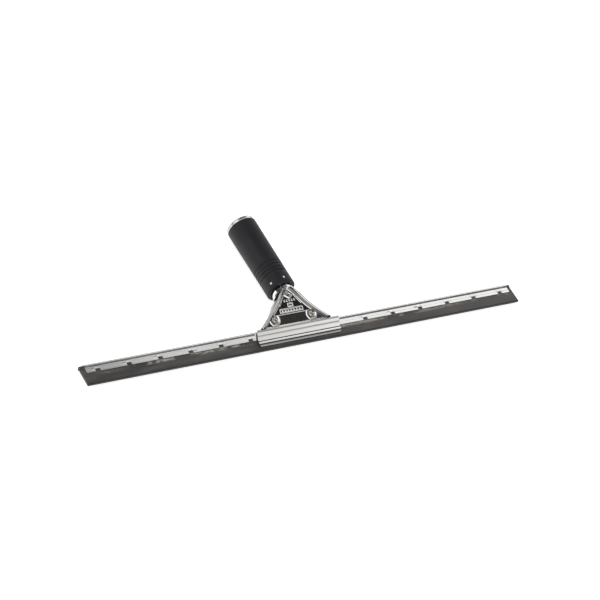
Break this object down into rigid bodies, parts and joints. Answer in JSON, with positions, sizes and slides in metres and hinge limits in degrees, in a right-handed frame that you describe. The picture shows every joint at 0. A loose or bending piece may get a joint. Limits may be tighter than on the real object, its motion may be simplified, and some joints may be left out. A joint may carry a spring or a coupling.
{
  "type": "window cleaning squeegee",
  "caption": "Window squeegee: rubber-gripped pole-socket handle, pressed steel head with a sprung quick-release jaw, and a notched channel holding a long rubber blade.",
  "frame": {"origin": "centre of the pole socket's mouth at the free end of the grip", "axes": "+Y along the grip's axis, out of the socket; +X along the blade, to the right as seen from the front with the grip on top; +Z out of the front face, away from the thumb lever"},
  "size_m": [0.55, 0.1542, 0.033],
  "materials": {
    "grip_rubber": "matte moulded rubber",
    "end_ring_metal": "satin with a bright rim",
    "tube_steel": "plain drawn and pressed steel",
    "socket_plastic": "moulded matte black",
    "pin_steel": "bright turned steel",
    "polished_steel": "highly polished stainless",
    "satin_steel": "satin stainless, brushed lengthways",
    "rivet_steel": "polished domed heads",
    "spring_steel": "drawn spring steel",
    "lever_steel": "satin stainless",
    "channel_steel": "satin stainless, brushed lengthways",
    "blade_rubber": "smooth dark grey-brown wiping rubber"
  },
  "bodies": {
    "handle": {"grip_sleeve": "grip_rubber", "grip_end_ring": "end_ring_metal", "handle_tube": "tube_steel", "pole_socket_liner": "socket_plastic", "neck_pins": "pin_steel", "head_frame": "polished_steel", "front_jaw": "satin_steel", "jaw_rivet_left": "rivet_steel", "jaw_rivet_right": "rivet_steel", "rivet_washer_left": "pin_steel", "rivet_washer_right": "pin_steel", "hinge_bracket": "tube_steel", "hinge_pin": "pin_steel", "pin_clip_left": "spring_steel", "pin_clip_right": "spring_steel", "spring_seat": "pin_steel", "clamp_spring": "spring_steel"},
    "lever": {"clamp_lever": "lever_steel"},
    "channel_bar": {"channel": "channel_steel"},
    "rubber": {"rubber_blade": "blade_rubber"}
  },
  "joints": [
    {"name": "lever_hinge", "type": "hinge", "parent": "handle", "child": "lever", "pos_m": [0, -0.1212, -0.0129], "axis": [1, 0, 0], "range_deg": [0, 12], "stiffness_Nm_per_rad": 0.242, "springref_deg": -34.38, "deforming": ["clamp_spring"]},
    {"name": "channel_slide", "type": "slide", "parent": "handle", "child": "channel_bar", "axis": [1, 0, 0], "range_m": [-0.2296, 0.2064]},
    {"name": "rubber_slide", "type": "slide", "parent": "channel_bar", "child": "rubber", "axis": [1, 0, 0], "range_m": [-0.25, 0.25]}
  ]
}
